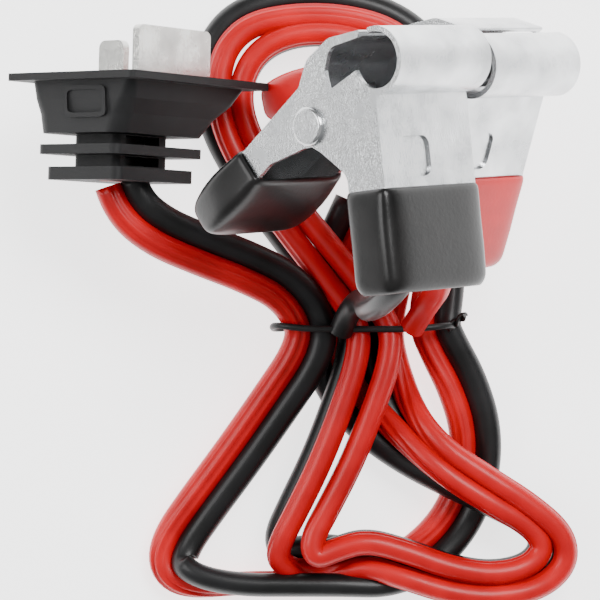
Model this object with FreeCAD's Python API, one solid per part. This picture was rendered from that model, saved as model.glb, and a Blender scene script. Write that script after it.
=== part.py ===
import FreeCAD, Part
import math
import os

# A 12 V battery charging lead: a polarised T-blade plug, a red and black twin cord tied up in a hank,
# and two spring clips of plated steel with vinyl boots, one black and one red.
# Lengths are in millimetres. +Z is up, the lead lies on z = 0, and the origin is under the middle of
# the plug, clips and tie. +Y runs from the hank's free loops towards the plug blades.

V = FreeCAD.Vector
NONE = V(0, 0, 0)
ALONG_X = V(1, 0, 0)
ALONG_Y = V(0, 1, 0)
ALONG_Z = V(0, 0, 1)

# Moves everything from the place where it was laid out to the origin described above.
LAYOUT_SHIFT = V(1.4, -22.0, 0)

# ---- clearances -----------------------------------------------------------------------------------
FIT_GAP = 0.05            # pieces moulded or pressed together
RUNNING_GAP = 0.06        # rivet in a jaw that turns on it, on the radius
NEST_GAP = 0.15           # one jaw's cheek inside the other's, each side
SPRING_GAP = 0.35         # spring to rivet and spring to sheet

# ---- plug -----------------------------------------------------------------------------------------
PLUG_CENTRE = V(-28.7, 39.6, 23.8)
PLUG_ROLL = 50.4          # the plug lies on one corner of its flange
PLUG_YAW = -1.5
FLANGE_LONG = 36.7
FLANGE_SHORT = 30.3
FLANGE_THICK = 1.3
FLANGE_CORNER = 0.8
BODY_LONG = 30.7
BODY_SHORT = 24.3
BODY_DEPTH = 9.1
WIDE_BLADE = 19.0
WIDE_BLADE_OUT = 8.8
NARROW_BLADE = 6.0
NARROW_BLADE_OUT = 7.0
BLADE_THICK = 1.5
WIDE_BLADE_AT = 7.6       # across the plug from its middle
NARROW_BLADE_AT = -6.4
BLADE_ROOT = 4.0
BARREL_RADIUS = 1.8
BARREL_LENGTH = 3.0
BARREL_INSET = 1.6        # towards the plug's middle from the wide blade
NECK_LONG = 14.2
NECK_SHORT = 10.4
NECK_DEPTH = 8.2
NECK_AT_X = -2.7
NECK_AT_Z = -1.6
RIB_THICK = 1.7
RIB_1_LONG = 23.4
RIB_1_SHORT = 19.2
RIB_2_LONG = 20.6
RIB_2_SHORT = 17.6
SLOT_OPEN = 2.0

# ---- cord -----------------------------------------------------------------------------------------
LOBE_WIDE = 4.9           # one conductor's insulation is an oval
LOBE_THICK = 3.3
TWIN_WIDE = 2 * LOBE_WIDE - 0.2
LEAD_TUBE = 6.0           # round tube of the twin cord's section
TAIL_TUBE = 4.0

# ---- battery clip ---------------------------------------------------------------------------------
CLIP_WIDTH = 23.0
SHEET = 0.9
RECESS_DEPTH = 0.5        # of the pocket in the back plate
PLATE_AT = 15.5           # outside of the back plate from the rivet
BACK_HANDLE_END = -27.4
CHEEK_EDGE_AT = 7.4
BARREL_OUT = 5.6          # outside radius of the rolled jaw
BARREL_AT = V(16.2, 9.2, 0)
LEVER_OFFSET = 7.1        # outside of the front plate from the rivet
LEVER_ANGLE = 33.0        # the front handle's slope below the clip's cross axis
LEVER_END = 28.6          # along the front handle from the rivet
LEVER_DEPTH = 5.6
RIVET_RADIUS = 2.3
RIVET_HEAD_RADIUS = 3.3
RIVET_HEAD = 0.9
SPRING_WIRE = 1.7
SPRING_TURNS = 5
BOOT_WALL = 1.0
BACK_BOOT_LENGTH = 16.6
BACK_BOOT_PAST = 1.0
FRONT_BOOT_LENGTH = 15.0
FRONT_BOOT_PAST = 2.4

CLIP_ROLL = -43.3
CLIP_LEAN = 5.7
BLACK_CLIP_AT = V(9.4, 29.8, 52.7)
RED_CLIP_AT = V(23.6, 38.1, 30.5)
RED_CLIP_TURN = -26.0


def box(x0, x1, y0, y1, z0, z1):
    return Part.makeBox(x1 - x0, y1 - y0, z1 - z0, V(x0, y0, z0))


def rod(start, end, radius):
    return Part.makeCylinder(radius, (end - start).Length, start, end - start)


def corner_arc(before, at, after, radius):
    """The arc that rounds one corner: its start, middle and end."""
    back = (before - at).normalize()
    on = (after - at).normalize()
    half = back.getAngle(on) / 2
    start = at + back * (radius / math.tan(half))
    end = at + on * (radius / math.tan(half))
    middle = at + (back + on).normalize() * (radius / math.sin(half) - radius)
    return start, middle, end


def rounded(corners, radii):
    """A closed outline of straight runs, each corner rounded by its own radius."""
    if not isinstance(radii, list):
        radii = [radii] * len(corners)
    arcs = []
    for i, radius in enumerate(radii):
        arcs.append(corner_arc(corners[i - 1], corners[i], corners[(i + 1) % len(corners)], radius))
    edges = []
    for i, (start, middle, end) in enumerate(arcs):
        edges.append(Part.LineSegment(arcs[i - 1][2], start).toShape())
        edges.append(Part.Arc(start, middle, end).toShape())
    return Part.Wire(edges)


def prism(wire, direction):
    return Part.Face(wire).extrude(direction)


def rounded_block(long, short, radius, at_x, at_z, y0, y1):
    """A block along Y with four rounded long edges."""
    corners = [
        V(at_x - long / 2, y0, at_z - short / 2),
        V(at_x + long / 2, y0, at_z - short / 2),
        V(at_x + long / 2, y0, at_z + short / 2),
        V(at_x - long / 2, y0, at_z + short / 2),
    ]
    return prism(rounded(corners, radius), V(0, y1 - y0, 0))


def save(name, shape):
    shape = shape.copy()
    shape.translate(LAYOUT_SHIFT)
    shape.exportStep("parts/" + name + ".step")


# ---- plug: made along +Y with its front face at y = 0, then laid on its corner ----------------------
def place_plug(shape):
    placed = shape.copy()
    placed.rotate(NONE, ALONG_Y, PLUG_ROLL)
    placed.rotate(NONE, ALONG_Z, PLUG_YAW)
    placed.translate(PLUG_CENTRE)
    return placed


def plug_point(x, y, z):
    roll = FreeCAD.Rotation(ALONG_Y, PLUG_ROLL)
    yaw = FreeCAD.Rotation(ALONG_Z, PLUG_YAW)
    return PLUG_CENTRE + yaw.multVec(roll.multVec(V(x, y, z)))


def wide_blade(grow):
    tip = WIDE_BLADE_OUT
    corners = [
        V(-WIDE_BLADE / 2 - grow, -FLANGE_THICK - BLADE_ROOT, WIDE_BLADE_AT - BLADE_THICK / 2 - grow),
        V(WIDE_BLADE / 2 + grow, -FLANGE_THICK - BLADE_ROOT, WIDE_BLADE_AT - BLADE_THICK / 2 - grow),
        V(WIDE_BLADE / 2 + grow, tip, WIDE_BLADE_AT - BLADE_THICK / 2 - grow),
        V(-WIDE_BLADE / 2 - grow, tip, WIDE_BLADE_AT - BLADE_THICK / 2 - grow),
    ]
    return prism(rounded(corners, [0.2, 0.2, 1.2, 1.2]), V(0, 0, BLADE_THICK + 2 * grow))


def narrow_blade(grow):
    tip = NARROW_BLADE_OUT
    half = BLADE_THICK / 2 + grow
    low = NARROW_BLADE_AT - NARROW_BLADE / 2 - grow
    high = NARROW_BLADE_AT + NARROW_BLADE / 2 + grow
    corners = [
        V(-half, -FLANGE_THICK - BLADE_ROOT, low),
        V(-half, -FLANGE_THICK - BLADE_ROOT, high),
        V(-half, tip, high),
        V(-half, tip, low),
    ]
    return prism(rounded(corners, [0.2, 0.2, 1.4, 1.4]), V(2 * half, 0, 0))


def crimp_barrel(at_z, grow):
    back = -FLANGE_THICK - BLADE_ROOT
    start = V(0, back - BARREL_LENGTH, at_z)
    tube = rod(start, V(0, back, at_z), BARREL_RADIUS + grow)
    if grow > 0:
        return tube
    return tube.cut(rod(start, V(0, back - 0.8, at_z), BARREL_RADIUS - 0.7))


def plug_flange():
    plate = rounded_block(FLANGE_LONG, FLANGE_SHORT, FLANGE_CORNER, 0, 0, -FLANGE_THICK, 0)
    return plate.cut(wide_blade(FIT_GAP)).cut(narrow_blade(FIT_GAP))


def body_section(y, low_x, high_x, low_z, high_z, radius):
    corners = [V(low_x, y, low_z), V(high_x, y, low_z), V(high_x, y, high_z), V(low_x, y, high_z)]
    return rounded(corners, radius)


def plug_body():
    """The moulding narrows from the flange to the neck, most of it on its two upper faces."""
    half_long = BODY_LONG / 2
    half_short = BODY_SHORT / 2
    front = -FLANGE_THICK
    back = front - BODY_DEPTH
    sections = [
        body_section(front, -half_long, half_long, -half_short, half_short, 1.6),
        body_section(front - 0.35 * BODY_DEPTH, -half_long + 0.2, half_long - 1.7,
                     -half_short + 0.1, half_short - 1.0, 2.4),
        body_section(front - 0.63 * BODY_DEPTH, -half_long + 0.6, half_long - 4.1,
                     -half_short + 0.5, half_short - 2.5, 3.0),
        body_section(back, -half_long + 1.0, half_long - 6.3,
                     -half_short + 0.8, half_short - 3.9, 3.0),
    ]
    body = Part.makeLoft(sections, True, True)
    body = body.cut(wide_blade(FIT_GAP)).cut(narrow_blade(FIT_GAP))
    body = body.cut(crimp_barrel(WIDE_BLADE_AT - BARREL_INSET, FIT_GAP)).cut(crimp_barrel(NARROW_BLADE_AT, FIT_GAP))
    return body.cut(cord_end(FIT_GAP))


def cord_end(grow):
    """The straight end of the twin cord inside the neck, two ovals side by side."""
    front = -FLANGE_THICK - BODY_DEPTH + 3.0
    back = -FLANGE_THICK - BODY_DEPTH - NECK_DEPTH
    past = grow * 4
    lobes = []
    for side in (-1, 1):
        middle = V(NECK_AT_X + side * (TWIN_WIDE - LOBE_WIDE) / 2, back - past, NECK_AT_Z)
        oval = Part.Ellipse(middle + V(LOBE_WIDE / 2 + grow, 0, 0), middle + V(0, 0, LOBE_THICK / 2 + grow), middle)
        lobes.append(Part.Face(Part.Wire([oval.toShape()])).extrude(V(0, front - back + 2 * past, 0)))
    return lobes[0].fuse(lobes[1]).removeSplitter()


def plug_neck():
    """Slotted strain relief: a square neck with two ribs and slots that let it bend."""
    front = -FLANGE_THICK - BODY_DEPTH
    back = front - NECK_DEPTH
    neck = rounded_block(NECK_LONG, NECK_SHORT, 1.5, NECK_AT_X, NECK_AT_Z, back, front)
    first_rib = front - SLOT_OPEN
    rib_1 = rounded_block(RIB_1_LONG, RIB_1_SHORT, 1.6, NECK_AT_X, NECK_AT_Z, first_rib - RIB_THICK, first_rib)
    rib_2 = rounded_block(RIB_2_LONG, RIB_2_SHORT, 1.6, NECK_AT_X, NECK_AT_Z, back, back + RIB_THICK + 0.6)
    whole = neck.fuse(rib_1).fuse(rib_2)
    slot_places = [front - SLOT_OPEN, first_rib - RIB_THICK - 0.2]
    for top in slot_places:
        upper = NECK_AT_Z + LOBE_THICK / 2 + FIT_GAP
        slot = box(NECK_AT_X - 4.4, NECK_AT_X + 4.4, top - SLOT_OPEN * 0.8, top - 0.1 + 0.1, upper, upper + NECK_SHORT)
        if top < front - SLOT_OPEN:
            whole = whole.cut(slot)
        else:
            whole = whole.cut(slot.translated(V(0, SLOT_OPEN * 0.9, 0)))
    return whole.cut(cord_end(FIT_GAP))


# ---- battery clip: made about its rivet, x out through the back plate, y along the jaws ------------
def place_clip(shape, at, turn):
    placed = shape.copy()
    placed.rotate(NONE, ALONG_Z, turn)
    placed.rotate(NONE, ALONG_Y, CLIP_ROLL)
    placed.rotate(NONE, ALONG_Z, CLIP_LEAN)
    placed.translate(at)
    return placed


def clip_point(x, y, z, at, turn):
    lean = FreeCAD.Rotation(ALONG_Z, CLIP_LEAN)
    roll = FreeCAD.Rotation(ALONG_Y, CLIP_ROLL)
    own = FreeCAD.Rotation(ALONG_Z, turn)
    return at + lean.multVec(roll.multVec(own.multVec(V(x, y, z))))


def slab(wire_or_corners, radii, width):
    wire = rounded(wire_or_corners, radii)
    wire.translate(V(0, 0, -width / 2))
    return prism(wire, V(0, 0, width))


def round_slab(at, radius, width):
    return rod(at - V(0, 0, width / 2), at + V(0, 0, width / 2), radius)


def pressed_recess():
    """A shallow rounded pocket struck into the back plate."""
    floor = PLATE_AT - RECESS_DEPTH
    corners = [V(floor, -10.2, -0.6), V(floor, -3.4, -0.6), V(floor, -3.4, 7.2), V(floor, -10.2, 7.2)]
    return prism(rounded(corners, 1.8), V(RECESS_DEPTH + 1, 0, 0))


def back_half():
    """Back plate, two cheeks round the rivet, and the rolled jaw at the top."""
    outline = [
        V(PLATE_AT, BACK_HANDLE_END, 0),
        V(PLATE_AT, 6.0, 0),
        V(12.6, 8.4, 0),
        V(3.2, 4.6, 0),
        V(-3.4, 4.0, 0),
        V(-4.6, -0.5, 0),
        V(2.0, -4.6, 0),
        V(CHEEK_EDGE_AT, -9.0, 0),
        V(CHEEK_EDGE_AT, BACK_HANDLE_END, 0),
    ]
    outer = slab(outline, [0.4, 0.5, 0.8, 3.0, 2.4, 2.4, 5.0, 3.0, 0.4], CLIP_WIDTH)
    hollow = box(-20, PLATE_AT - SHEET, BACK_HANDLE_END - 1, 20, -CLIP_WIDTH / 2 + SHEET, CLIP_WIDTH / 2 - SHEET)
    channel = outer.cut(hollow)
    roll = round_slab(BARREL_AT, BARREL_OUT, CLIP_WIDTH)
    roll = roll.cut(round_slab(BARREL_AT, BARREL_OUT - SHEET, CLIP_WIDTH + 2))
    mouth_side = box(0, BARREL_AT.x - 1.2, -5, 30, -CLIP_WIDTH, CLIP_WIDTH)
    roll = roll.cut(mouth_side).cut(box(0, PLATE_AT - SHEET, -5, 7.0, -CLIP_WIDTH, CLIP_WIDTH))
    channel = channel.cut(round_slab(BARREL_AT, BARREL_OUT - SHEET, CLIP_WIDTH + 2))
    whole = channel.fuse(roll).removeSplitter()
    whole = whole.cut(pressed_recess())
    return whole.cut(round_slab(NONE, RIVET_RADIUS + FIT_GAP, CLIP_WIDTH + 2))


def front_half():
    """The lever: a shallow channel that ends in the curved rim of the other jaw."""
    slope = math.radians(LEVER_ANGLE)
    along = V(-math.cos(slope), -math.sin(slope), 0)
    out = V(-math.sin(slope), math.cos(slope), 0)
    end_out = along * LEVER_END + out * LEVER_OFFSET
    end_in = along * LEVER_END + out * (LEVER_OFFSET - LEVER_DEPTH)
    outline = [
        end_out,
        along * -1.5 + out * LEVER_OFFSET,
        V(-0.2, 11.2, 0),
        V(5.2, 14.2, 0),
        V(12.6, 14.7, 0),
        V(11.6, 13.4, 0),
        V(5.2, 12.6, 0),
        V(3.6, 8.6, 0),
        V(4.6, 3.4, 0),
        V(3.0, -3.4, 0),
        along * 4.0 + out * (LEVER_OFFSET - LEVER_DEPTH - 3.0),
        along * 12.0 + out * (LEVER_OFFSET - LEVER_DEPTH),
        end_in,
    ]
    width = CLIP_WIDTH - 2 * SHEET - 2 * NEST_GAP
    radii = [0.4, 1.5, 3.0, 3.0, 0.3, 0.3, 2.5, 2.5, 2.0, 2.0, 2.0, 3.0, 0.4]
    outer = slab(outline, radii, width)
    inside = [
        end_out + along * 2 - out * SHEET,
        along * -1.5 + out * (LEVER_OFFSET - SHEET),
        V(0.7, 10.7, 0),
        V(5.4, 13.3, 0),
        V(14.0, 13.9, 0),
        V(14.0, -12.0, 0),
        end_in + along * 2 - out * 8,
    ]
    hollow = slab(inside, [0.3, 1.0, 2.4, 2.4, 0.3, 0.3, 0.3], width - 2 * SHEET)
    return outer.cut(hollow).cut(round_slab(NONE, RIVET_RADIUS + RUNNING_GAP, CLIP_WIDTH))


def rivet():
    pin = round_slab(NONE, RIVET_RADIUS, CLIP_WIDTH)
    heads = round_slab(NONE, RIVET_HEAD_RADIUS, CLIP_WIDTH + 2 * RIVET_HEAD)
    heads = heads.makeFillet(RIVET_HEAD * 0.6, [e for e in heads.Edges if e.Closed and len(e.Vertexes) == 1])
    heads = heads.cut(round_slab(NONE, RIVET_HEAD_RADIUS + 1, CLIP_WIDTH))
    return pin.fuse(heads).removeSplitter()


def spring():
    """Torsion coil round the rivet, with its back arm along the back plate."""
    mean = RIVET_RADIUS + SPRING_GAP + SPRING_WIRE / 2
    pitch = SPRING_WIRE * 1.25
    length = pitch * SPRING_TURNS
    path = Part.makeHelix(pitch, length, mean)
    circle = Part.Wire([Part.Circle(V(mean, 0, 0), ALONG_Y, SPRING_WIRE / 2).toShape()])
    coil = Part.Wire(path).makePipeShell([circle], True, True)
    arm = rod(V(mean, 0.4, 0), V(mean + 2.0, -17.0, 0), SPRING_WIRE / 2)
    whole = coil.fuse(arm)
    whole.translate(V(0, 0, -length / 2))
    return whole


def boot(low_x, high_x, y0, y1, width, wall):
    """A dipped sleeve round a handle, open at its end."""
    middle = (low_x + high_x) / 2
    depth = high_x - low_x + 2 * wall
    outer = rounded_block(depth, width + 2 * wall, 2.2, middle, 0, y0, y1)
    hole = rounded_block(high_x - low_x, width, 0.02, middle, 0, y0 - 1, y1 + 1)
    return outer.cut(hole)


def back_boot():
    end = BACK_HANDLE_END - BACK_BOOT_PAST
    return boot(CHEEK_EDGE_AT, PLATE_AT, end, end + BACK_BOOT_LENGTH, CLIP_WIDTH, BOOT_WALL)


def front_boot():
    """Made along -Y like the back one, then turned to the lever's slope."""
    width = CLIP_WIDTH - 2 * SHEET - 2 * NEST_GAP
    end = -LEVER_END - FRONT_BOOT_PAST
    low = -LEVER_OFFSET
    sleeve = boot(low, low + LEVER_DEPTH, end, end + FRONT_BOOT_LENGTH, width, BOOT_WALL)
    sleeve.rotate(NONE, ALONG_Z, -(90 - LEVER_ANGLE))
    return sleeve


def wire_crimp():
    """Two ears folded from the back plate round the bared end of the wire."""
    at = V(PLATE_AT - SHEET - TAIL_TUBE / 2 - 0.6, 0, 0)
    outer = rod(at + V(0, -25.0, 0), at + V(0, -19.5, 0), TAIL_TUBE / 2 + 0.6)
    return outer.cut(rod(at + V(0, -26.0, 0), at + V(0, -19.0, 0), TAIL_TUBE / 2 + FIT_GAP))


def save_clip(name, at, turn):
    pieces = {
        "back_jaw": back_half(),
        "front_jaw": front_half(),
        "rivet": rivet(),
        "spring": spring(),
        "back_boot": back_boot(),
        "front_boot": front_boot(),
        "wire_crimp": wire_crimp(),
    }
    for piece, shape in pieces.items():
        save(name + "_clip_" + piece, place_clip(shape, at, turn))


# ---- cords: straight runs joined by tangent arcs ---------------------------------------------------
def tube(points, diameter, label):
    radii = []
    for before, at, after in zip(points, points[1:], points[2:]):
        turn = (at - before).getAngle(after - at)
        shorter = min((at - before).Length, (after - at).Length)
        radii.append(0.45 * shorter / math.tan(turn / 2))
    path = open_path(points, radii)
    start_circle = Part.Circle(points[0], points[1] - points[0], diameter / 2)
    solid = path.makePipeShell([Part.Wire([start_circle.toShape()])], True, False)
    section = math.pi * diameter ** 2 / 4
    print(label, "length", round(path.Length, 1), "volume ratio", round(solid.Volume / (section * path.Length), 4),
          "radii", [round(r, 1) for r in radii])
    return solid


def open_path(points, radii):
    edges = []
    last = points[0]
    for before, at, after, radius in zip(points, points[1:], points[2:], radii):
        start, middle, end = corner_arc(before, at, after, radius)
        edges.append(Part.LineSegment(last, start).toShape())
        edges.append(Part.Arc(start, middle, end).toShape())
        last = end
    edges.append(Part.LineSegment(last, points[-1]).toShape())
    return Part.Wire(edges)


def plug_lead():
    back = -FLANGE_THICK - BODY_DEPTH - NECK_DEPTH
    start = plug_point(NECK_AT_X, back, NECK_AT_Z)
    heading = start - plug_point(NECK_AT_X, back + 1, NECK_AT_Z)
    points = [start, start + heading * 5, V(-25.0, 11.0, 22.0), V(-16.5, 7.0, 19.0), V(-8.5, 3.6, 16.2),
              V(-2.6, 0.4, 14.8), V(1.6, -3.0, 14.4)]
    return tube(points, LEAD_TUBE, "plug_lead")


def tail(at, turn, down, label):
    wire_x = PLATE_AT - SHEET - TAIL_TUBE / 2 - 0.6
    start = clip_point(wire_x, -19.7, 0, at, turn)
    out = clip_point(wire_x, -31.0, 0, at, turn)
    return tube([start, out] + down, TAIL_TUBE, label)


def cord_hank():
    """The outer shape of the tied cord: an open loop above the tie and the free loops below it."""
    free_loops = prism(rounded([
        V(0.2, -5.0, 0.3), V(-27.0, -42.0, 0.3), V(-22.0, -52.0, 0.3), V(8.0, -53.0, 0.3), V(33.0, -56.0, 0.3),
        V(51.0, -52.0, 0.3), V(49.0, -40.0, 0.3), V(35.0, -24.0, 0.3), V(22.8, -5.0, 0.3),
    ], [1.0, 6.0, 4.0, 8.0, 6.0, 5.0, 5.0, 8.0, 1.0]), V(0, 0, 8.0))
    loop_outside = rounded([
        V(0.2, -3.5, 0.3), V(-4.0, 10.0, 0.3), V(-17.5, 32.0, 0.3), V(-17.0, 50.0, 0.3), V(-2.0, 56.0, 0.3),
        V(20.0, 53.0, 0.3), V(31.0, 40.0, 0.3), V(30.0, 12.0, 0.3), V(22.8, -3.5, 0.3),
    ], [1.0, 5.0, 6.0, 8.0, 8.0, 10.0, 8.0, 8.0, 1.0])
    loop_inside = rounded([
        V(3.0, 8.0, 0.3), V(-5.0, 30.0, 0.3), V(-4.0, 45.0, 0.3), V(19.0, 45.0, 0.3), V(21.0, 30.0, 0.3),
        V(19.0, 8.0, 0.3),
    ], 2.5)
    top_loop = prism(loop_outside, V(0, 0, 6.6)).cut(prism(loop_inside, V(0, 0, 6.6)))
    waist = prism(rounded([
        V(-3.0, -10.0, 0.3), V(26.0, -10.0, 0.3), V(26.0, -10.0, 11.3), V(-3.0, -10.0, 11.3),
    ], 3.0), V(0, 12.0, 0))
    return free_loops.fuse(top_loop).fuse(waist).removeSplitter()


TIE_Y = -5.0
TIE_WIDE = 2.0
TIE_THICK = 0.7


def tie_ring(grow, y0, y1):
    return prism(rounded([
        V(-3.0 - grow, y0, 0.3 - min(grow, 0.25)), V(26.0 + grow, y0, 0.3 - min(grow, 0.25)),
        V(26.0 + grow, y0, 11.3 + grow), V(-3.0 - grow, y0, 11.3 + grow),
    ], 3.0 + grow), V(0, y1 - y0, 0))


def tie_band():
    low = TIE_Y - TIE_WIDE / 2
    high = TIE_Y + TIE_WIDE / 2
    return tie_ring(0.1 + TIE_THICK, low, high).cut(tie_ring(0.05, low - 1, high + 1))


def tie_twist():
    """The twisted end that stands out beside the hank."""
    start = V(27.4, TIE_Y + 0.2, 9.0)
    return rod(start, start + V(2.6, 1.6, 1.6), 1.0)


os.makedirs("parts", exist_ok=True)

save("plug_flange", place_plug(plug_flange()))
save("plug_body", place_plug(plug_body()))
save("plug_neck", place_plug(plug_neck()))
save("plug_wide_blade", place_plug(wide_blade(0)))
save("plug_narrow_blade", place_plug(narrow_blade(0)))
save("plug_wide_barrel", place_plug(crimp_barrel(WIDE_BLADE_AT - BARREL_INSET, 0)))
save("plug_narrow_barrel", place_plug(crimp_barrel(NARROW_BLADE_AT, 0)))
save("plug_cord_end", place_plug(cord_end(0)))
save_clip("black", BLACK_CLIP_AT, 0)
save_clip("red", RED_CLIP_AT, RED_CLIP_TURN)
save("plug_lead", plug_lead())
save("black_tail", tail(BLACK_CLIP_AT, 0, [V(17.5, -4.5, 50.0), V(15.0, -1.5, 32.0), V(13.0, 1.5, 17.5), V(8.8, -3.0, 13.4)], "black_tail"))
save("red_tail", tail(RED_CLIP_AT, RED_CLIP_TURN, [V(25.0, 3.5, 20.0), V(21.0, -3.0, 13.4)], "red_tail"))
save("cord_hank", cord_hank())
save("tie_band", tie_band())
save("tie_twist", tie_twist())
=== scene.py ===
import math

import bmesh
import bpy
from mathutils import Matrix, Vector


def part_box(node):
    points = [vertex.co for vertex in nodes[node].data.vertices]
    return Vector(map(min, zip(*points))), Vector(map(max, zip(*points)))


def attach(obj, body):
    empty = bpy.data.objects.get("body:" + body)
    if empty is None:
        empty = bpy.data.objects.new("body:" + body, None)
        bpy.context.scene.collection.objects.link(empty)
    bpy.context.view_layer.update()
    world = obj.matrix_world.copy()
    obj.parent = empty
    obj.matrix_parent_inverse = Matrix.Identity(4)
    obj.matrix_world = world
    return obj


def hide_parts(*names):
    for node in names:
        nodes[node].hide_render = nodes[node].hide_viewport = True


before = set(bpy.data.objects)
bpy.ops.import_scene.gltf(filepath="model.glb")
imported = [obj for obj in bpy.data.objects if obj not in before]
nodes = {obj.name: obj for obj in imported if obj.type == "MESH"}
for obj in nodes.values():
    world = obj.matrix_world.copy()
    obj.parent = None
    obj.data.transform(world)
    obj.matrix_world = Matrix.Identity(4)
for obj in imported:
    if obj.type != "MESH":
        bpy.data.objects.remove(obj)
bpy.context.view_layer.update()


# ---- camera -------------------------------------------------------------------------------------------
# The lead lies on a table and is seen from straight above, a little more than half a metre up.
view_height = 0.600
view_middle = (0.0014, -0.0220)

camera_data = bpy.data.cameras.new("camera")
camera_data.angle = math.radians(10.64)
camera_data.clip_start = 0.05
camera = bpy.data.objects.new("camera", camera_data)
camera.location = (view_middle[0], view_middle[1], view_height)
bpy.context.scene.collection.objects.link(camera)
bpy.context.scene.camera = camera


# ---- twin cord ----------------------------------------------------------------------------------------
# Two conductors in soft vinyl, one red and one black, moulded side by side and wound by hand into a
# hank. The red side carries two fine grooves that mark its polarity.
lobe_width = 0.0049
lobe_thickness = 0.0044
lobe_apart = 0.0047
groove_depth = 0.0004
lobe_steps = 36
groove_steps = (7, 11, 25, 29)
curve_steps = 7

# Each point is a place in millimetres and how far the cord is rolled there, in degrees: at 0 the red
# side lies to the right of the way the cord runs, at 90 it is on top.
cord_route = [
    # out of the plug and down to the tie
    (-30.6, -1.0, 24.8, 0), (-29.4, -5.0, 24.8, 0), (-24.2, -9.6, 22.6, 0), (-16.2, -13.0, 19.0, 0),
    (-8.2, -16.0, 15.4, 0), (-0.6, -19.8, 11.8, 0), (3.8, -26.4, 9.2, 0),
    # left loop, along the bottom on edge with black on top, and up the right side
    (2.6, -32.4, 8.8, 0), (-2.8, -40.4, 7.4, 0), (-9.6, -50.2, 5.6, 0), (-16.4, -59.4, 4.0, 0),
    (-21.6, -66.8, 3.4, -10), (-22.4, -71.6, 4.0, -30), (-18.0, -74.0, 5.0, -60), (-9.6, -74.4, 5.3, -90),
    (0.4, -74.4, 5.2, -90), (9.6, -74.0, 5.2, -100), (17.6, -73.0, 4.4, -135), (25.0, -69.0, 3.1, -170),
    (30.8, -62.4, 2.6, -180), (33.8, -54.0, 2.8, -180), (34.0, -45.6, 3.4, -180), (31.4, -37.4, 4.4, -175),
    (27.8, -30.6, 5.4, -160), (26.0, -26.4, 5.8, -160),
    # outer top loop
    (27.2, -18.6, 5.4, -200), (28.6, -8.6, 5.2, -225), (29.0, 2.4, 5.2, -225), (28.6, 13.2, 5.2, -225),
    (26.0, 22.6, 5.2, -225), (19.4, 29.2, 5.4, -225), (9.8, 32.0, 5.6, -220), (0.2, 32.2, 5.6, -220),
    (-8.8, 30.4, 5.6, -220), (-14.0, 25.0, 5.6, -225), (-15.2, 17.2, 5.4, -235), (-13.6, 8.6, 5.4, -245),
    (-8.4, -0.6, 5.8, -250), (-1.8, -9.6, 6.6, -250), (4.8, -18.2, 7.2, -250), (11.6, -26.6, 7.6, -250),
    # centre band, left side, folded under at the bottom and round the outer right loop
    (11.0, -33.2, 8.8, -250), (8.2, -41.6, 9.6, -250), (4.4, -51.4, 9.2, -250), (0.0, -60.4, 7.8, -250),
    (-3.0, -66.6, 6.2, -255), (-2.2, -69.8, 5.0, -290), (2.2, -70.2, 3.4, -340), (8.0, -69.8, 3.6, -335),
    (14.0, -70.6, 5.2, -280), (20.6, -73.0, 7.2, -270), (28.6, -75.6, 7.4, -270), (37.6, -76.6, 6.2, -270),
    (45.8, -75.0, 5.4, -270), (50.6, -70.4, 5.4, -270), (49.8, -64.8, 6.2, -270), (43.6, -59.4, 8.0, -270),
    (35.6, -54.6, 9.4, -275), (26.8, -49.6, 8.4, -290), (20.2, -43.2, 5.0, -330), (16.8, -34.8, 2.8, -360),
    (15.4, -26.8, 2.8, -360),
    # inner top loop
    (17.8, -17.4, 4.3, -330), (21.2, -6.0, 5.3, -270), (23.4, 6.0, 5.2, -270), (22.8, 16.0, 5.2, -270),
    (18.4, 23.4, 5.4, -270), (10.0, 27.0, 5.6, -270), (0.6, 27.2, 5.6, -270), (-6.4, 24.0, 5.6, -270),
    (-9.8, 17.4, 5.4, -270), (-8.6, 9.4, 5.4, -270), (-3.2, 0.6, 6.0, -270), (3.8, -8.4, 6.8, -270),
    (11.6, -17.8, 7.4, -270), (18.2, -26.6, 7.8, -270),
    # centre band, right side, and round the inner right loop
    (17.8, -33.4, 9.0, -270), (14.8, -42.0, 9.8, -270), (11.0, -51.6, 9.6, -270), (6.6, -60.2, 8.8, -270),
    (3.4, -66.0, 9.4, -270), (4.2, -69.2, 9.2, -270), (8.2, -67.6, 8.8, -270), (13.6, -66.0, 8.8, -270),
    (20.8, -68.0, 8.6, -270), (28.8, -71.0, 8.2, -270), (36.8, -72.4, 6.8, -270), (43.6, -71.0, 5.6, -270),
    (46.4, -67.2, 5.4, -270), (43.6, -63.4, 6.4, -270), (36.2, -59.4, 8.6, -275), (27.6, -54.8, 9.0, -290),
    (19.6, -49.2, 6.2, -320), (12.8, -43.2, 3.4, -350), (7.6, -35.8, 2.6, -360), (5.4, -26.8, 4.4, -360),
    # up to where the two sides part
    (6.2, -19.0, 3.6, -360), (9.0, -11.6, 2.8, -360), (12.4, -4.4, 2.8, -360),
]


def new_piece(name, bm):
    """Turns a finished bmesh into a piece of the scene."""
    mesh = bpy.data.meshes.new(name)
    bm.to_mesh(mesh)
    bm.free()
    piece = bpy.data.objects.new(name, mesh)
    bpy.context.scene.collection.objects.link(piece)
    return piece


def join_rings(bm, first, second, smooth=True, material=0):
    """Faces between two rings that have the same number of points."""
    for j in range(len(first)):
        k = (j + 1) % len(first)
        face = bm.faces.new((first[j], first[k], second[k], second[j]))
        face.material_index = material
        face.smooth = smooth


def nurbs_line(name, points):
    """The smooth line that a cord follows, as an open NURBS curve."""
    data = bpy.data.curves.new(name, "CURVE")
    data.dimensions = "3D"
    spline = data.splines.new("NURBS")
    spline.points.add(len(points) - 1)
    for point, place in zip(spline.points, points):
        point.co = (place[0], place[1], place[2], 1.0)
    spline.order_u = 3
    spline.use_endpoint_u = True
    spline.resolution_u = curve_steps
    data.resolution_u = curve_steps
    return data


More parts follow.
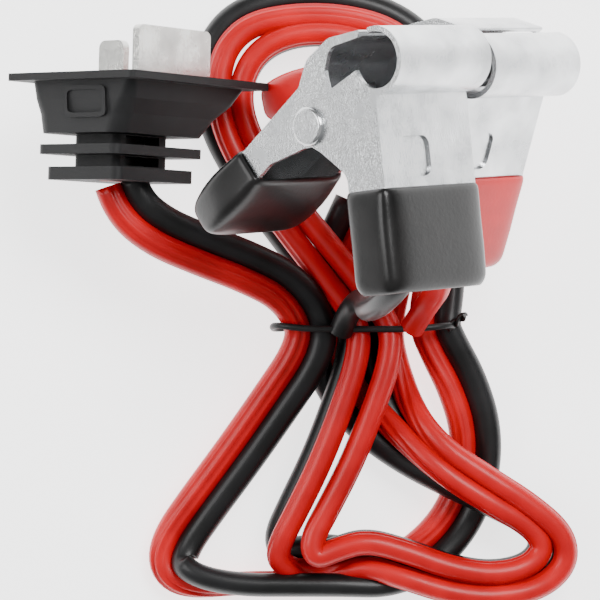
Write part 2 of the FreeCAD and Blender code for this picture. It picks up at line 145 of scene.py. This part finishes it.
def points_on(data):
    """The points of a NURBS curve, in order, as Blender evaluates it."""
    holder = bpy.data.objects.new("line", data)
    bpy.context.scene.collection.objects.link(holder)
    mesh = bpy.data.meshes.new_from_object(holder)
    points = [v.co.copy() for v in mesh.vertices]
    bpy.data.meshes.remove(mesh)
    bpy.data.objects.remove(holder)
    return points


def lobe_outline(side, grooves):
    """One conductor's oval, across and up from the middle of the cord."""
    outline = []
    for i in range(lobe_steps):
        angle = 2 * math.pi * i / lobe_steps
        depth = groove_depth if grooves and i in groove_steps else 0.0
        across = side * lobe_apart / 2 + (lobe_width / 2 - depth) * math.cos(angle)
        up = (lobe_thickness / 2 - depth) * math.sin(angle)
        outline.append((across, up))
    return outline


def twin_mesh(name, route):
    """Sweeps both ovals along the route, rolled as each point says."""
    line = nurbs_line("cord_line", [(x / 1000, y / 1000, z / 1000) for x, y, z, roll in route])
    places = points_on(line)
    turns = nurbs_line("cord_rolls", [(math.radians(roll), 0, 0) for x, y, z, roll in route])
    rolls = points_on(turns)
    bm = bmesh.new()
    for side, material, grooves in ((1, 0, True), (-1, 1, False)):
        outline = lobe_outline(side, grooves)
        rings = []
        for i, place in enumerate(places):
            ahead = (places[min(i + 1, len(places) - 1)] - places[max(i - 1, 0)]).normalized()
            right = ahead.cross(Vector((0, 0, 1))).normalized()
            up = right.cross(ahead)
            roll = rolls[i].x
            across_way = right * math.cos(roll) + up * math.sin(roll)
            up_way = up * math.cos(roll) - right * math.sin(roll)
            rings.append([bm.verts.new(place + across_way * a + up_way * u) for a, u in outline])
        for first, second in zip(rings, rings[1:]):
            join_rings(bm, first, second, material=material)
        for ring in (rings[0], rings[-1]):
            bm.faces.new(ring).material_index = material
    bmesh.ops.recalc_face_normals(bm, faces=bm.faces)
    return new_piece(name, bm), places


def group_sockets(name, inputs, outputs):
    """Starts a shader node group and gives it its named inputs and outputs."""
    group = bpy.data.node_groups.new(name, "ShaderNodeTree")
    for label, value in inputs:
        socket = group.interface.new_socket(label, in_out="INPUT", socket_type="NodeSocketFloat")
        socket.default_value = value
    for label, kind in outputs:
        group.interface.new_socket(label, in_out="OUTPUT", socket_type=kind)
    return group, group.nodes.new("NodeGroupInput"), group.nodes.new("NodeGroupOutput")


def build_soft_mottle():
    """Slow and fine unevenness of a moulded or dipped skin: one mask and one height."""
    group, given, result = group_sockets(
        "soft_mottle",
        [("Patch Scale", 120.0), ("Fine Scale", 2500.0), ("Fine Amount", 0.35)],
        [("Mask", "NodeSocketFloat"), ("Height", "NodeSocketFloat")],
    )
    place = group.nodes.new("ShaderNodeTexCoord")
    patch = group.nodes.new("ShaderNodeTexNoise")
    fine = group.nodes.new("ShaderNodeTexNoise")
    scaled = group.nodes.new("ShaderNodeMath")
    scaled.operation = "MULTIPLY"
    total = group.nodes.new("ShaderNodeMath")
    total.operation = "ADD"
    link = group.links.new
    link(place.outputs["Object"], patch.inputs["Vector"])
    link(place.outputs["Object"], fine.inputs["Vector"])
    link(given.outputs["Patch Scale"], patch.inputs["Scale"])
    link(given.outputs["Fine Scale"], fine.inputs["Scale"])
    link(fine.outputs["Fac"], scaled.inputs[0])
    link(given.outputs["Fine Amount"], scaled.inputs[1])
    link(patch.outputs["Fac"], total.inputs[0])
    link(scaled.outputs["Value"], total.inputs[1])
    link(patch.outputs["Fac"], result.inputs["Mask"])
    link(total.outputs["Value"], result.inputs["Height"])
    return group


soft_mottle = build_soft_mottle()


def vinyl(name, dark, light, rough_low, rough_high, coat, bump, patch_scale=120.0, fine_scale=2500.0):
    """Soft vinyl or moulded plastic: two close shades, uneven gloss and a faint skin."""
    material = bpy.data.materials.new(name)
    material.use_nodes = True
    tree = material.node_tree
    shader = tree.nodes["Principled BSDF"]
    mottle = tree.nodes.new("ShaderNodeGroup")
    mottle.node_tree = soft_mottle
    mottle.inputs["Patch Scale"].default_value = patch_scale
    mottle.inputs["Fine Scale"].default_value = fine_scale
    shade = tree.nodes.new("ShaderNodeValToRGB")
    shade.color_ramp.elements[0].position = 0.35
    shade.color_ramp.elements[0].color = (*dark, 1)
    shade.color_ramp.elements[1].position = 0.7
    shade.color_ramp.elements[1].color = (*light, 1)
    gloss = tree.nodes.new("ShaderNodeMapRange")
    gloss.inputs["To Min"].default_value = rough_low
    gloss.inputs["To Max"].default_value = rough_high
    skin = tree.nodes.new("ShaderNodeBump")
    skin.inputs["Strength"].default_value = bump
    skin.inputs["Distance"].default_value = 0.0002
    link = tree.links.new
    link(mottle.outputs["Mask"], shade.inputs["Fac"])
    link(shade.outputs["Color"], shader.inputs["Base Color"])
    link(mottle.outputs["Mask"], gloss.inputs["Value"])
    link(gloss.outputs["Result"], shader.inputs["Roughness"])
    link(mottle.outputs["Height"], skin.inputs["Height"])
    link(skin.outputs["Normal"], shader.inputs["Normal"])
    shader.inputs["Specular IOR Level"].default_value = 0.32
    shader.inputs["Coat Weight"].default_value = coat
    shader.inputs["Coat Roughness"].default_value = 0.18
    return material


red_vinyl = vinyl(
    "red_insulation", dark=(0.52, 0.0, 0.003), light=(0.70, 0.001, 0.006),
    rough_low=0.34, rough_high=0.52, coat=0.12, bump=0.25,
)
black_vinyl = vinyl(
    "black_insulation", dark=(0.004, 0.004, 0.004), light=(0.010, 0.010, 0.011),
    rough_low=0.34, rough_high=0.52, coat=0.10, bump=0.25,
)

twin_cord, cord_line = twin_mesh("twin_cord", cord_route)
twin_cord.data.materials.append(red_vinyl)
twin_cord.data.materials.append(black_vinyl)
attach(twin_cord, "lead")
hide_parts("plug_lead", "cord_hank")


# ---- tails --------------------------------------------------------------------------------------------
# Past the hank the two conductors part, and each runs alone up to its own clip: out of the boot of the
# back handle, over its edge and down to the tie.
tail_diameter = 0.0044


def tail(name, places, node, material):
    """One conductor on its own, as a round tube that hangs from its boot to the tie."""
    data = nurbs_line(name, [(x / 1000, y / 1000, z / 1000) for x, y, z in places])
    line = points_on(data.copy())
    data.bevel_depth = tail_diameter / 2
    data.bevel_resolution = 6
    data.use_fill_caps = True
    data.materials.append(material)
    piece = bpy.data.objects.new(name, data)
    bpy.context.scene.collection.objects.link(piece)
    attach(piece, "lead")
    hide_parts(node)


tail(
    "black_lead",
    [(21.45, -10.9, 60.9), (19.8, -17.6, 59.0), (15.4, -22.6, 52.0), (13.0, -23.8, 41.0),
     (13.2, -22.8, 29.0), (12.6, -21.6, 19.0), (10.2, -24.0, 14.2), (8.8, -27.8, 11.8)],
    "black_tail", black_vinyl,
)
tail(
    "red_lead",
    [(28.8, -6.6, 32.0), (26.8, -15.4, 29.4), (26.6, -19.6, 22.0), (24.4, -22.8, 15.6),
     (21.8, -27.2, 12.0)],
    "red_tail", red_vinyl,
)


# ---- tie ----------------------------------------------------------------------------------------------
# A thin black tie with a wire core, pulled tight round all the passes. Its two ends are twisted into
# a short tail beside the hank.
tie_plastic = vinyl(
    "tie_plastic", dark=(0.006, 0.006, 0.006), light=(0.014, 0.014, 0.014),
    rough_low=0.42, rough_high=0.6, coat=0.1, bump=0.2,
)
tie_low, tie_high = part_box("tie_band")
tie_wire = 0.00052
tie_half_width = 0.0166
tie_half_height = 0.0062
tie_centre_height = 0.0068
tie_sway = 0.0003
tie_steps = 96
strand_apart = 0.00042
strand_radius = 0.00044
strand_steps = 24
strand_sides = 10
strand_turns = 1.25


def squarer(value, power):
    """Pushes a sine or cosine outwards, so that a round outline becomes squarer."""
    return math.copysign(abs(value) ** power, value)


def closed_tube(name, path, radius_across, radius_along, sides=10):
    """A closed loop of oval section; the path lies in a plane across Y."""
    bm = bmesh.new()
    rings = []
    along = Vector((0, 1, 0))
    count = len(path)
    for i, place in enumerate(path):
        ahead = (path[(i + 1) % count] - path[i - 1]).normalized()
        out = ahead.cross(along).normalized()
        ring = []
        for j in range(sides):
            angle = 2 * math.pi * j / sides
            offset = out * radius_across * math.cos(angle) + along * radius_along * math.sin(angle)
            ring.append(bm.verts.new(place + offset))
        rings.append(ring)
    for i in range(count):
        join_rings(bm, rings[i], rings[(i + 1) % count])
    bmesh.ops.recalc_face_normals(bm, faces=bm.faces)
    return new_piece(name, bm)


def tie_path():
    """A flattened loop that bows up over the cords in its middle."""
    middle_x = (tie_low[0] + tie_high[0]) / 2
    middle_y = (tie_low[1] + tie_high[1]) / 2
    middle = Vector((middle_x, middle_y, tie_centre_height))
    path = []
    for i in range(tie_steps):
        angle = 2 * math.pi * i / tie_steps
        across = squarer(math.cos(angle), 0.42) * tie_half_width
        up = squarer(math.sin(angle), 0.55) * tie_half_height
        along = tie_sway * math.sin(3 * angle)
        path.append(middle + Vector((across, along, up)))
    return path


tie = closed_tube("wire_tie", tie_path(), tie_wire, tie_wire * 1.2)
tie.data.materials.append(tie_plastic)
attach(tie, "lead")
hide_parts("tie_band")


def twisted_ends():
    """The two ends of the tie, wound round each other."""
    low, high = (Vector(c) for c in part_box("tie_twist"))
    start = low + Vector((0.0003, 0.0004, 0.0004))
    end = Vector((high.x, high.y, high.z)) - Vector((0.0004, 0.0004, 0.0004))
    ahead = (end - start).normalized()
    side = ahead.cross(Vector((0, 0, 1))).normalized()
    other = side.cross(ahead)
    bm = bmesh.new()
    for strand in (0, math.pi):
        rings = []
        for i in range(strand_steps + 1):
            share = i / strand_steps
            turn = strand + share * strand_turns * 2 * math.pi
            outward = side * math.cos(turn) + other * math.sin(turn)
            centre = start.lerp(end, share) + outward * strand_apart
            ring = []
            for j in range(strand_sides):
                angle = 2 * math.pi * j / strand_sides
                rim = side * math.cos(angle) + other * math.sin(angle)
                ring.append(bm.verts.new(centre + rim * strand_radius))
            rings.append(ring)
        for first, second in zip(rings, rings[1:]):
            join_rings(bm, first, second)
        bm.faces.new(rings[0])
        bm.faces.new(rings[-1])
    bmesh.ops.recalc_face_normals(bm, faces=bm.faces)
    return new_piece("tie_ends", bm)


tie_ends = twisted_ends()
tie_ends.data.materials.append(tie_plastic)
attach(tie_ends, "lead")
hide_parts("tie_twist")


# ---- plug ---------------------------------------------------------------------------------------------
# One moulding of matt black plastic: a thin flange, a body that narrows behind it, and a ribbed and
# slotted neck. Two tinned blades stand out of the flange in a T.
moulded_black = vinyl(
    "moulded_black", dark=(0.006, 0.006, 0.0065), light=(0.014, 0.014, 0.015),
    rough_low=0.48, rough_high=0.64, coat=0.0, bump=0.5, patch_scale=90.0, fine_scale=5200.0,
)


def set_finish(node, material):
    """Gives one CAD node its material."""
    nodes[node].data.materials.clear()
    nodes[node].data.materials.append(material)


for node in ("plug_flange", "plug_body", "plug_neck"):
    set_finish(node, moulded_black)
set_finish("plug_cord_end", red_vinyl)

# The plug's own axes, as it lies: x along the flange's long side, y out through the blades.
plug_place = (
    Matrix.Translation((-0.0273, 0.0176, 0.0238))
    @ Matrix.Rotation(math.radians(-1.5), 4, "Z")
    @ Matrix.Rotation(math.radians(50.4), 4, "Y")
)


def raised_frame():
    """A plain raised frame, moulded on the body's narrow upper face."""
    outer = (0.0050, 0.0028)
    inner = (0.0042, 0.0020)
    root = -0.0003
    top = 0.00034
    lean = -0.06
    steps = 24
    middle = Vector((-0.0151, -0.0050, 0.0012))
    bm = bmesh.new()
    loops = []
    for half, proud in ((outer, root), (outer, top), (inner, top), (inner, root)):
        loop = []
        for i in range(steps):
            angle = 2 * math.pi * (i + 0.5) / steps
            across = squarer(math.cos(angle), 0.3) * half[0]
            along = squarer(math.sin(angle), 0.3) * half[1]
            offset = Vector((-proud + along * lean, along, across))
            loop.append(bm.verts.new(plug_place @ (middle + offset)))
        loops.append(loop)
    for first, second in zip(loops, loops[1:] + loops[:1]):
        join_rings(bm, first, second, smooth=False)
    bmesh.ops.recalc_face_normals(bm, faces=bm.faces)
    return new_piece("plug_frame", bm)


plug_frame = raised_frame()
plug_frame.data.materials.append(moulded_black)
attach(plug_frame, "lead")


# ---- clips --------------------------------------------------------------------------------------------
# Each clip is two stampings of bright zinc-plated steel on a rivet, held shut by a torsion spring, with
# a dipped vinyl boot on each handle.
def build_plate_grain():
    """Rolling grain and small scuffs of plated sheet: a tone mask and a height."""
    group, given, result = group_sockets(
        "plate_grain",
        [("Grain Scale", 900.0), ("Scuff Scale", 160.0), ("Stretch", 14.0)],
        [("Tone", "NodeSocketFloat"), ("Height", "NodeSocketFloat")],
    )
    place = group.nodes.new("ShaderNodeTexCoord")
    stretch = group.nodes.new("ShaderNodeCombineXYZ")
    squeezed = group.nodes.new("ShaderNodeVectorMath")
    squeezed.operation = "MULTIPLY"
    grain = group.nodes.new("ShaderNodeTexNoise")
    scuff = group.nodes.new("ShaderNodeTexNoise")
    scuff.inputs["Detail"].default_value = 6.0
    total = group.nodes.new("ShaderNodeMath")
    total.operation = "MULTIPLY_ADD"
    total.inputs[1].default_value = 0.4
    stretch.inputs["Y"].default_value = 1.0
    link = group.links.new
    link(given.outputs["Stretch"], stretch.inputs["X"])
    link(given.outputs["Stretch"], stretch.inputs["Z"])
    link(place.outputs["Object"], squeezed.inputs[0])
    link(stretch.outputs["Vector"], squeezed.inputs[1])
    link(squeezed.outputs["Vector"], grain.inputs["Vector"])
    link(place.outputs["Object"], scuff.inputs["Vector"])
    link(given.outputs["Grain Scale"], grain.inputs["Scale"])
    link(given.outputs["Scuff Scale"], scuff.inputs["Scale"])
    link(grain.outputs["Fac"], total.inputs[0])
    link(scuff.outputs["Fac"], total.inputs[2])
    link(total.outputs["Value"], result.inputs["Height"])
    link(scuff.outputs["Fac"], result.inputs["Tone"])
    return group


plate_grain = build_plate_grain()


def bare_metal(name, dark, light, rough_low, rough_high, bump, grain_scale=900.0):
    """Plated or bare sheet metal: two close tones, uneven polish and a fine rolled grain."""
    material = bpy.data.materials.new(name)
    material.use_nodes = True
    tree = material.node_tree
    shader = tree.nodes["Principled BSDF"]
    grain = tree.nodes.new("ShaderNodeGroup")
    grain.node_tree = plate_grain
    grain.inputs["Grain Scale"].default_value = grain_scale
    tone = tree.nodes.new("ShaderNodeValToRGB")
    tone.color_ramp.elements[0].position = 0.3
    tone.color_ramp.elements[0].color = (*dark, 1)
    tone.color_ramp.elements[1].position = 0.7
    tone.color_ramp.elements[1].color = (*light, 1)
    polish = tree.nodes.new("ShaderNodeMapRange")
    polish.inputs["From Min"].default_value = 0.3
    polish.inputs["From Max"].default_value = 0.7
    polish.inputs["To Min"].default_value = rough_high
    polish.inputs["To Max"].default_value = rough_low
    surface = tree.nodes.new("ShaderNodeBump")
    surface.inputs["Strength"].default_value = bump
    surface.inputs["Distance"].default_value = 0.00015
    link = tree.links.new
    link(grain.outputs["Tone"], tone.inputs["Fac"])
    link(tone.outputs["Color"], shader.inputs["Base Color"])
    link(grain.outputs["Tone"], polish.inputs["Value"])
    link(polish.outputs["Result"], shader.inputs["Roughness"])
    link(grain.outputs["Height"], surface.inputs["Height"])
    link(surface.outputs["Normal"], shader.inputs["Normal"])
    shader.inputs["Metallic"].default_value = 1.0
    return material


zinc_plate = bare_metal(
    "zinc_plate", dark=(0.50, 0.51, 0.52), light=(0.74, 0.75, 0.76),
    rough_low=0.16, rough_high=0.30, bump=0.35,
)
tinned_blade = bare_metal(
    "tinned_blade", dark=(0.46, 0.46, 0.44), light=(0.70, 0.69, 0.66),
    rough_low=0.20, rough_high=0.34, bump=0.4,
)
spring_wire = bare_metal(
    "spring_wire", dark=(0.28, 0.28, 0.29), light=(0.46, 0.46, 0.47),
    rough_low=0.25, rough_high=0.40, bump=0.2,
)
crimp_brass = bare_metal(
    "crimp_brass", dark=(0.60, 0.44, 0.18), light=(0.74, 0.57, 0.27),
    rough_low=0.28, rough_high=0.42, bump=0.2,
)
black_boot = vinyl(
    "black_boot", dark=(0.004, 0.004, 0.004), light=(0.009, 0.008, 0.008),
    rough_low=0.26, rough_high=0.42, coat=0.15, bump=0.3, fine_scale=1400.0,
)
red_boot = vinyl(
    "red_boot", dark=(0.55, 0.0, 0.003), light=(0.74, 0.002, 0.008),
    rough_low=0.30, rough_high=0.46, coat=0.12, bump=0.3, fine_scale=1400.0,
)

for colour in ("black", "red"):
    finishes = {
        "back_jaw": zinc_plate,
        "front_jaw": zinc_plate,
        "rivet": zinc_plate,
        "wire_crimp": zinc_plate,
        "spring": spring_wire,
    }
    for piece, finish in finishes.items():
        set_finish(colour + "_clip_" + piece, finish)


# Each boot is dipped vinyl about a millimetre thick. It grips the sheet at its mouth, softens at the
# corners, draws in a little past the end of the handle, and its end stays open.
clip_places = {
    "black": (Vector((0.0108, 0.0078, 0.0527)), 0.0),
    "red": (Vector((0.0250, 0.0161, 0.0305)), -26.0),
}


def clip_axes(colour):
    """One clip's own axes as it lies, from its rivet: y runs up the handle towards the jaws."""
    at, turn = clip_places[colour]
    return (
        Matrix.Translation(at)
        @ Matrix.Rotation(math.radians(5.7), 4, "Z")
        @ Matrix.Rotation(math.radians(-43.3), 4, "Y")
        @ Matrix.Rotation(math.radians(turn), 4, "Z")
    )


def boot_ring(bm, place, centre, half_x, half_z, y, squareness, ripple):
    """One rounded rectangle of points round a handle, with a slight waviness."""
    ring = []
    steps = 48
    power = 2.0 / squareness
    for i in range(steps):
        angle = 2 * math.pi * (i + 0.5) / steps
        across = squarer(math.cos(angle), power) * half_x
        along = squarer(math.sin(angle), power) * half_z
        wave = 1 + ripple * math.sin(3 * angle + y * 900)
        ring.append(bm.verts.new(place @ Vector((centre + across * wave, y, along * wave))))
    return ring


def boot_mesh(name, place, centre, half_x, half_z, mouth, end, swell):
    """Rings down the outside from the mouth, round the open end and back up the inside."""
    wall = 0.0010
    length = mouth - end
    bm = bmesh.new()
    # how far down the boot, how far outside the handle, and how square
    outside = [
        (0.00, wall * 0.35, 9.0), (0.02, wall * 0.95, 8.0), (0.12, wall * 1.05, 7.0),
        (0.35, wall * (1.1 + swell), 6.0), (0.60, wall * (1.15 + swell), 6.0),
        (0.80, wall * (1.1 + swell * 0.5), 6.0), (0.90, wall * 1.05, 6.5),
        (0.97, wall * 0.70, 5.0), (1.00, wall * 0.25, 4.4),
    ]
    inside = [
        (0.985, -wall * 0.25, 4.6), (0.95, -wall * 0.1, 6.0), (0.88, 0.0001, 14.0), (0.0, 0.0001, 14.0),
    ]
    rings = []
    for share, grow, squareness in outside + inside:
        ripple = 0.006 * math.sin(math.pi * share) if grow > 0.0005 else 0.0
        y = mouth - share * length
        rings.append(
            boot_ring(bm, place, centre, half_x + grow, half_z + grow, y, squareness, ripple)
        )
    for first, second in zip(rings, rings[1:] + rings[:1]):
        join_rings(bm, first, second)
    bmesh.ops.recalc_face_normals(bm, faces=bm.faces)
    piece = new_piece(name, bm)
    rounding = piece.modifiers.new("soften", "SUBSURF")
    rounding.levels = 1
    rounding.render_levels = 1
    return piece


lever_turn = Matrix.Rotation(math.radians(-57.0), 4, "Z")
for colour, boot in (("black", black_boot), ("red", red_boot)):
    axes = clip_axes(colour)
    back = boot_mesh(
        colour + "_back_sleeve", axes, centre=0.01145, half_x=0.00405, half_z=0.0115,
        mouth=-0.0118, end=-0.0294, swell=0.0,
    )
    front = boot_mesh(
        colour + "_front_sleeve", axes @ lever_turn, centre=-0.0043, half_x=0.0028,
        half_z=0.01045, mouth=-0.0158, end=-0.0316, swell=0.6,
    )
    for piece, node, body in (
        (back, "_clip_back_boot", "lead"),
        (front, "_clip_front_boot", colour + "_clip_lever"),
    ):
        piece.data.materials.append(boot)
        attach(piece, body)
        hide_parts(colour + node)

for node in ("plug_wide_blade", "plug_narrow_blade"):
    set_finish(node, tinned_blade)
for node in ("plug_wide_barrel", "plug_narrow_barrel"):
    set_finish(node, crimp_brass)


# ---- floor and light ----------------------------------------------------------------------------------
# A white table that glows a little, under a large soft light and a weaker one from the left. The sky is
# pale, with a dark band low down that the bright metal mirrors.
def floor_sheet():
    """The table top, just under everything that lies on it."""
    bm = bmesh.new()
    half = 1.5
    level = -0.0002
    corners = ((-half, -half), (half, -half), (half, half), (-half, half))
    bm.faces.new([bm.verts.new((x, y, level)) for x, y in corners])
    floor = new_piece("floor", bm)
    white = bpy.data.materials.new("white_table")
    white.use_nodes = True
    shader = white.node_tree.nodes["Principled BSDF"]
    shader.inputs["Base Color"].default_value = (0.93, 0.93, 0.93, 1)
    shader.inputs["Roughness"].default_value = 0.9
    shader.inputs["Emission Color"].default_value = (1, 1, 1, 1)
    shader.inputs["Emission Strength"].default_value = 2.4
    floor.data.materials.append(white)


def soft_light(name, place, aim, size, power):
    """A rectangular light, turned towards the place it aims at."""
    data = bpy.data.lights.new(name, "AREA")
    data.shape = "RECTANGLE"
    data.size = size[0]
    data.size_y = size[1]
    data.energy = power
    light = bpy.data.objects.new(name, data)
    light.location = place
    light.rotation_euler = (Vector(aim) - Vector(place)).to_track_quat("-Z", "Y").to_euler()
    bpy.context.scene.collection.objects.link(light)


floor_sheet()
soft_light("key_light", place=(0.30, 0.35, 0.75), aim=(0, 0, 0.02), size=(0.5, 0.35), power=8.0)
soft_light("left_light", place=(-0.6, 0.1, 0.5), aim=(0, 0, 0.02), size=(0.4, 0.4), power=3.0)
world = bpy.data.worlds.new("pale_sky")
world.use_nodes = True
sky = world.node_tree
way = sky.nodes.new("ShaderNodeTexCoord")
split = sky.nodes.new("ShaderNodeSeparateXYZ")
bands = sky.nodes.new("ShaderNodeValToRGB")
bands.color_ramp.elements[0].position = 0.0
bands.color_ramp.elements[0].color = (1, 1, 1, 1)
bands.color_ramp.elements[1].position = 1.0
bands.color_ramp.elements[1].color = (1, 1, 1, 1)
for position, grey in ((0.12, 0.95), (0.20, 0.10), (0.42, 0.10), (0.52, 1.0)):
    band = bands.color_ramp.elements.new(position)
    band.color = (grey, grey, grey, 1)
sky.links.new(way.outputs["Generated"], split.inputs["Vector"])
sky.links.new(split.outputs["Z"], bands.inputs["Fac"])
sky.links.new(bands.outputs["Color"], sky.nodes["Background"].inputs["Color"])
sky.nodes["Background"].inputs["Strength"].default_value = 0.5
bpy.context.scene.world = world
